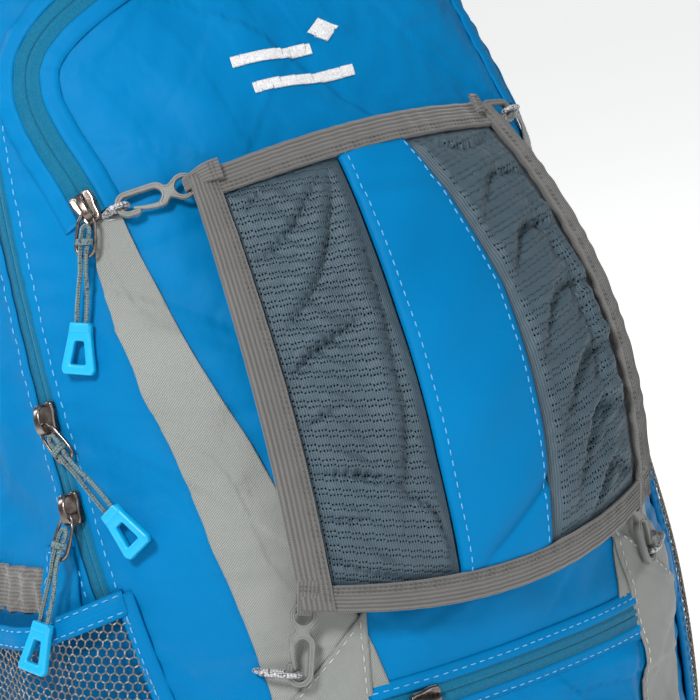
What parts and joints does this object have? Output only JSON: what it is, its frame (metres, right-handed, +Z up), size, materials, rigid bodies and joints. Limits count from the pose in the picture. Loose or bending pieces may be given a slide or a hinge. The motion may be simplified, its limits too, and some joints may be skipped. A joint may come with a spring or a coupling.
{
  "type": "daypack",
  "caption": "Soft hiking daypack with a front mesh holder on snap hooks, zipped compartments, net side pockets, padded shoulder straps and a hip belt.",
  "frame": {"origin": "on the floor under the middle of the base", "axes": "+Z up along the back, -Y is the front with the mesh holder, -X is the wearer's left"},
  "size_m": [0.3473, 0.2983, 0.4905],
  "materials": {
    "bag_fabric": "satin plain-weave nylon",
    "zip_tape": "woven tape with a nylon coil",
    "zip_metal": "gunmetal nickel plate",
    "pull_cord": "braided cord with black flecks",
    "pull_tab": "soft-touch moulded",
    "holder_mesh": "perforated knit",
    "elastic": "ribbed woven elastic",
    "hook_plastic": "moulded acetal",
    "loop_cord": "reflective braided cord",
    "side_net": "coarse open net",
    "pad_mesh": "spacer mesh",
    "webbing": "woven webbing",
    "buckle_plastic": "moulded, semi-gloss"
  },
  "bodies": {
    "bag": {"main_compartment": "bag_fabric", "front_compartment": "bag_fabric", "lower_front_pocket": "bag_fabric", "main_zip_chain": "zip_tape", "front_zip_chain": "zip_tape", "lower_zip_chain": "zip_tape", "holder_panel": "holder_mesh", "holder_binding": "elastic", "cord_loop_upper_left": "loop_cord", "cord_loop_upper_right": "loop_cord", "cord_loop_lower_left": "loop_cord", "cord_loop_lower_right": "loop_cord", "side_pocket_left": "side_net", "side_pocket_right": "side_net", "side_strap_left": "elastic", "side_strap_right": "elastic", "back_pad_left": "pad_mesh", "back_pad_right": "pad_mesh", "lumbar_pad": "pad_mesh"},
    "main_upper_slider": {"main_upper_slider": "zip_metal"},
    "main_upper_pull": {"main_upper_pull_ring": "zip_metal", "main_upper_pull_cord": "pull_cord", "main_upper_pull_tab": "pull_tab"},
    "main_lower_slider": {"main_lower_slider": "zip_metal"},
    "main_lower_pull": {"main_lower_pull_ring": "zip_metal", "main_lower_pull_cord": "pull_cord", "main_lower_pull_tab": "pull_tab"},
    "front_slider": {"front_slider": "zip_metal"},
    "front_pull": {"front_pull_ring": "zip_metal", "front_pull_cord": "pull_cord", "front_pull_tab": "pull_tab"},
    "lower_slider": {"lower_slider": "zip_metal"},
    "lower_pull": {"lower_pull_ring": "zip_metal", "lower_pull_cord": "pull_cord", "lower_pull_tab": "pull_tab"},
    "upper_left_hook": {"upper_left_snap_hook": "hook_plastic"},
    "upper_left_gate": {"upper_left_hook_gate": "hook_plastic"},
    "upper_right_hook": {"upper_right_snap_hook": "hook_plastic"},
    "upper_right_gate": {"upper_right_hook_gate": "hook_plastic"},
    "lower_left_hook": {"lower_left_snap_hook": "hook_plastic"},
    "lower_left_gate": {"lower_left_hook_gate": "hook_plastic"},
    "lower_right_hook": {"lower_right_snap_hook": "hook_plastic"},
    "lower_right_gate": {"lower_right_hook_gate": "hook_plastic"},
    "haul_loop": {"haul_loop": "webbing"},
    "shoulder_left": {"shoulder_pad_left": "pad_mesh", "shoulder_webbing_left": "webbing", "ladder_lock_left": "buckle_plastic"},
    "sternum_rail_left": {"sternum_adjuster_left": "buckle_plastic"},
    "sternum_strap_left": {"sternum_webbing_left": "webbing", "sternum_buckle_female": "buckle_plastic"},
    "shoulder_right": {"shoulder_pad_right": "pad_mesh", "shoulder_webbing_right": "webbing", "ladder_lock_right": "buckle_plastic"},
    "sternum_rail_right": {"sternum_adjuster_right": "buckle_plastic"},
    "sternum_strap_right": {"sternum_webbing_right": "webbing", "sternum_buckle_male": "buckle_plastic"},
    "hip_belt_left": {"hip_webbing_left": "webbing", "hip_buckle_female": "buckle_plastic"},
    "hip_belt_right": {"hip_webbing_right": "webbing", "hip_buckle_male": "buckle_plastic"}
  },
  "joints": [
    {"name": "main_upper_slider_travel", "type": "slide", "parent": "bag", "child": "main_upper_slider", "axis": [0.076, 0.2198, 0.9726], "range_m": [0, 0.034]},
    {"name": "main_upper_pull_swing", "type": "hinge", "parent": "main_upper_slider", "child": "main_upper_pull", "pos_m": [-0.14656, -0.05318, 0.24936], "axis": [-0.4012, 0.7149, -0.5727], "range_deg": [0, 110]},
    {"name": "main_lower_slider_travel", "type": "slide", "parent": "bag", "child": "main_lower_slider", "axis": [0.0514, 0.2201, 0.9741], "range_m": [-0.012, 0]},
    {"name": "main_lower_pull_swing", "type": "hinge", "parent": "main_lower_slider", "child": "main_lower_pull", "pos_m": [-0.14848, -0.06177, 0.21221], "axis": [-0.2144, 0.9359, 0.2796], "range_deg": [0, 110]},
    {"name": "front_slider_travel", "type": "slide", "parent": "bag", "child": "front_slider", "axis": [-0.072, 0.4987, 0.8638], "range_m": [0, 0.026]},
    {"name": "front_pull_swing", "type": "hinge", "parent": "front_slider", "child": "front_pull", "pos_m": [-0.11739, -0.07289, 0.33205], "axis": [-0.5373, 0.8214, 0.1914], "range_deg": [0, 110]},
    {"name": "lower_slider_travel", "type": "hinge", "parent": "bag", "child": "lower_slider", "pos_m": [0, 0.128, 0.112], "axis": [0, 0, 1], "range_deg": [0, 26]},
    {"name": "lower_pull_swing", "type": "hinge", "parent": "lower_slider", "child": "lower_pull", "pos_m": [-0.05418, -0.15039, 0.11176], "axis": [-0.4127, 0.1287, 0.9017], "range_deg": [0, 110]},
    {"name": "upper_left_hook_swivel", "type": "hinge", "parent": "bag", "child": "upper_left_hook", "pos_m": [-0.08229, -0.09302, 0.33475], "axis": [-0.4866, -0.792, 0.3687], "range_deg": [-3, 3]},
    {"name": "upper_left_gate", "type": "hinge", "parent": "upper_left_hook", "child": "upper_left_gate", "pos_m": [-0.09194, -0.0895, 0.32959], "axis": [0.4866, 0.792, -0.3687], "range_deg": [0, 18], "stiffness_Nm_per_rad": 0.02},
    {"name": "upper_right_hook_swivel", "type": "hinge", "parent": "bag", "child": "upper_right_hook", "pos_m": [0.069, -0.09786, 0.33501], "axis": [0.381, -0.8356, 0.3957], "range_deg": [-3, 3]},
    {"name": "upper_right_gate", "type": "hinge", "parent": "upper_right_hook", "child": "upper_right_gate", "pos_m": [0.07903, -0.09575, 0.3298], "axis": [0.381, -0.8356, 0.3957], "range_deg": [0, 18], "stiffness_Nm_per_rad": 0.02},
    {"name": "lower_left_hook_swivel", "type": "hinge", "parent": "bag", "child": "lower_left_hook", "pos_m": [-0.0923, -0.13345, 0.15897], "axis": [-0.5032, -0.8641, 0.0123], "range_deg": [-3, 3]},
    {"name": "lower_left_gate", "type": "hinge", "parent": "lower_left_hook", "child": "lower_left_gate", "pos_m": [-0.09822, -0.13013, 0.1497], "axis": [-0.5032, -0.8641, 0.0123], "range_deg": [0, 18], "stiffness_Nm_per_rad": 0.02},
    {"name": "lower_right_hook_swivel", "type": "hinge", "parent": "bag", "child": "lower_right_hook", "pos_m": [0.08244, -0.13838, 0.15898], "axis": [0.4288, -0.9034, 0.0069], "range_deg": [-3, 3]},
    {"name": "lower_right_gate", "type": "hinge", "parent": "lower_right_hook", "child": "lower_right_gate", "pos_m": [0.08854, -0.13555, 0.14965], "axis": [-0.4288, 0.9034, -0.0069], "range_deg": [0, 18], "stiffness_Nm_per_rad": 0.02},
    {"name": "haul_loop_swing", "type": "hinge", "parent": "bag", "child": "haul_loop", "pos_m": [0, 0.052, 0.454], "axis": [1, 0, 0], "range_deg": [-12, 30], "stiffness_Nm_per_rad": 0.05},
    {"name": "shoulder_swing_left", "type": "hinge", "parent": "bag", "child": "shoulder_left", "pos_m": [-0.046, 0.06, 0.428], "axis": [0.1304, -0.0157, 0.9913], "range_deg": [-10, 14], "stiffness_Nm_per_rad": 0.6},
    {"name": "sternum_height_left", "type": "slide", "parent": "shoulder_left", "child": "sternum_rail_left", "axis": [0.11, 0, 0.9939], "range_m": [-0.03, 0.03]},
    {"name": "sternum_swing_left", "type": "hinge", "parent": "sternum_rail_left", "child": "sternum_strap_left", "pos_m": [-0.0365, 0.1315, 0.286], "axis": [0, -1, 0], "range_deg": [0, 22]},
    {"name": "shoulder_swing_right", "type": "hinge", "parent": "bag", "child": "shoulder_right", "pos_m": [0.046, 0.06, 0.428], "axis": [0.1304, 0.0157, -0.9913], "range_deg": [-10, 14], "stiffness_Nm_per_rad": 0.6},
    {"name": "sternum_height_right", "type": "slide", "parent": "shoulder_right", "child": "sternum_rail_right", "axis": [-0.11, 0, 0.9939], "range_m": [-0.03, 0.03]},
    {"name": "sternum_swing_right", "type": "hinge", "parent": "sternum_rail_right", "child": "sternum_strap_right", "pos_m": [0.0365, 0.1315, 0.286], "axis": [0, 1, 0], "range_deg": [0, 22]},
    {"name": "hip_belt_lift_left", "type": "hinge", "parent": "bag", "child": "hip_belt_left", "pos_m": [-0.14, 0.054, 0.024], "axis": [1, 0, 0], "range_deg": [0, 22]},
    {"name": "hip_belt_lift_right", "type": "hinge", "parent": "bag", "child": "hip_belt_right", "pos_m": [0.14, 0.054, 0.024], "axis": [1, 0, 0], "range_deg": [0, 22]}
  ],
  "couplings": [
    {"joint": "hip_belt_lift_right", "follows": "hip_belt_lift_left", "ratio": 1}
  ]
}
